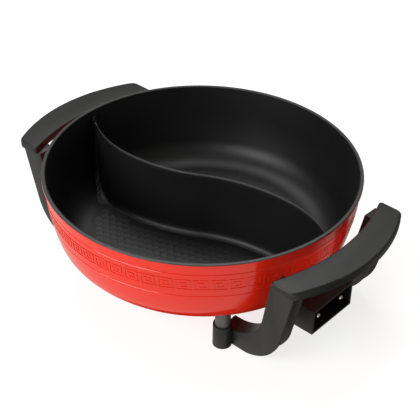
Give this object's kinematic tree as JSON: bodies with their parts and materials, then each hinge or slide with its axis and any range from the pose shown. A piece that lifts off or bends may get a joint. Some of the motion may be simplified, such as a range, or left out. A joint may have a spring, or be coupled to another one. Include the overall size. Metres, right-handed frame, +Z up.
{
  "type": "electric hot pot",
  "caption": "Round electric hot pot with an S shaped divider, moulded handles on J shaped legs and a plug-in socket under one handle.",
  "frame": {"origin": "on the pot's axis, at table height", "axes": "+Z up, +X towards the handle with the socket, +Y to the left seen from there"},
  "size_m": [0.409, 0.32, 0.121],
  "materials": {
    "pot": "gloss red outside, dark non-stick inside",
    "plastic": "fine matte",
    "casting": "dull cast",
    "element": "dull sheath",
    "steel": "brushed",
    "ceramic": "glazed ceramic",
    "pin": "nickel plated",
    "screw": "zinc plated",
    "gasket": "matte"
  },
  "bodies": {
    "root": {"pot_casting": "pot", "terminal_block": "casting", "heating_element": "element", "terminal_plate": "steel", "shroud_clamp": "steel", "socket_shroud": "plastic", "insulator_left": "ceramic", "insulator_right": "ceramic", "terminal_pin_left": "pin", "terminal_pin_right": "pin", "clamp_screws": "screw", "handle_socket_side": "plastic", "grip_cover_socket_side": "plastic", "cover_screws_socket_side": "screw", "gaskets_socket_side": "gasket", "washers_socket_side": "screw", "leg_screws_socket_side": "screw", "handle_plain_side": "plastic", "grip_cover_plain_side": "plastic", "cover_screws_plain_side": "screw", "gaskets_plain_side": "gasket", "washers_plain_side": "screw", "leg_screws_plain_side": "screw"}
  },
  "joints": []
}
